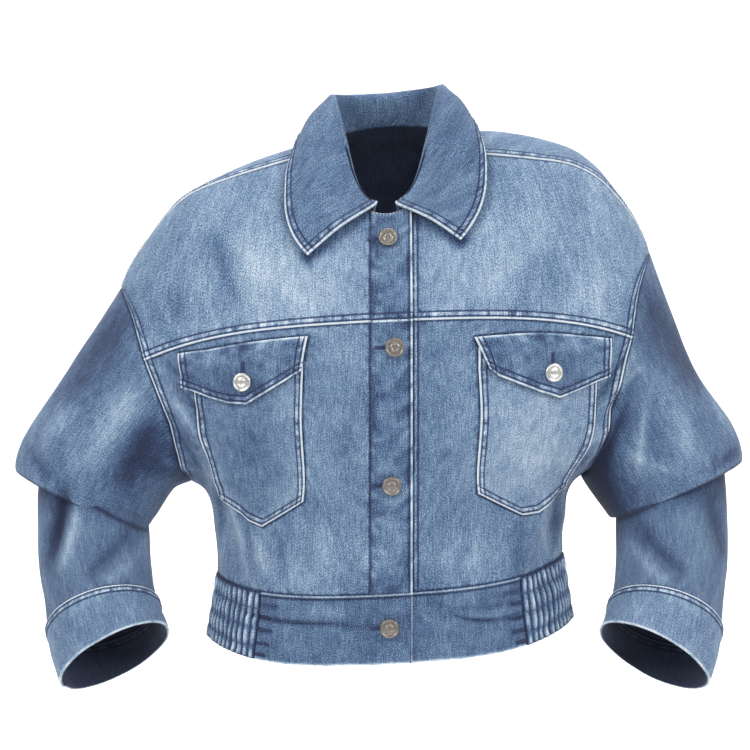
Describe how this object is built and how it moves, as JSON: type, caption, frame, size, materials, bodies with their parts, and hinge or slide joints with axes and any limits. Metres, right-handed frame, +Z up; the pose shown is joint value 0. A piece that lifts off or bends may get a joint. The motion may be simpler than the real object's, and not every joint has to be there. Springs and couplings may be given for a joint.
{
  "type": "denim jacket",
  "caption": "Cropped denim jacket with a pointed collar, button front, flapped chest pockets, drop-shoulder sleeves with turned-up cuffs and a waistband gathered at the sides.",
  "frame": {"origin": "centre of the neckline, level with the middle of its opening, where the jacket hangs from the wearer's neck and shoulders", "axes": "+X across the jacket to the wearer's left, which is its widest way; -Y out of the button front; +Z up through the neck opening"},
  "size_m": [0.7293, 0.2779, 0.5906],
  "materials": {
    "washed_denim": "washed blue cotton twill",
    "elasticated_denim": "washed blue cotton twill, gathered on elastic",
    "front_button_metal": "dull antique nickel",
    "flap_button_metal": "bright nickel"
  },
  "bodies": {
    "root": {"front_yoke_right": "washed_denim", "front_yoke_left": "washed_denim", "front_right": "washed_denim", "front_left": "washed_denim", "back": "washed_denim", "collar": "washed_denim", "placket": "washed_denim", "sleeve_right": "washed_denim", "sleeve_left": "washed_denim", "cuff_right": "washed_denim", "cuff_left": "washed_denim", "pocket_right": "washed_denim", "pocket_left": "washed_denim", "flap_right": "washed_denim", "flap_left": "washed_denim", "waistband_right": "washed_denim", "waistband_left": "washed_denim", "waistband_back": "washed_denim", "side_elastic_right": "elasticated_denim", "side_elastic_left": "elasticated_denim", "flap_button_right": "flap_button_metal", "flap_button_left": "flap_button_metal", "button_1": "front_button_metal", "button_2": "front_button_metal", "button_3": "front_button_metal", "button_4": "front_button_metal"}
  },
  "joints": []
}
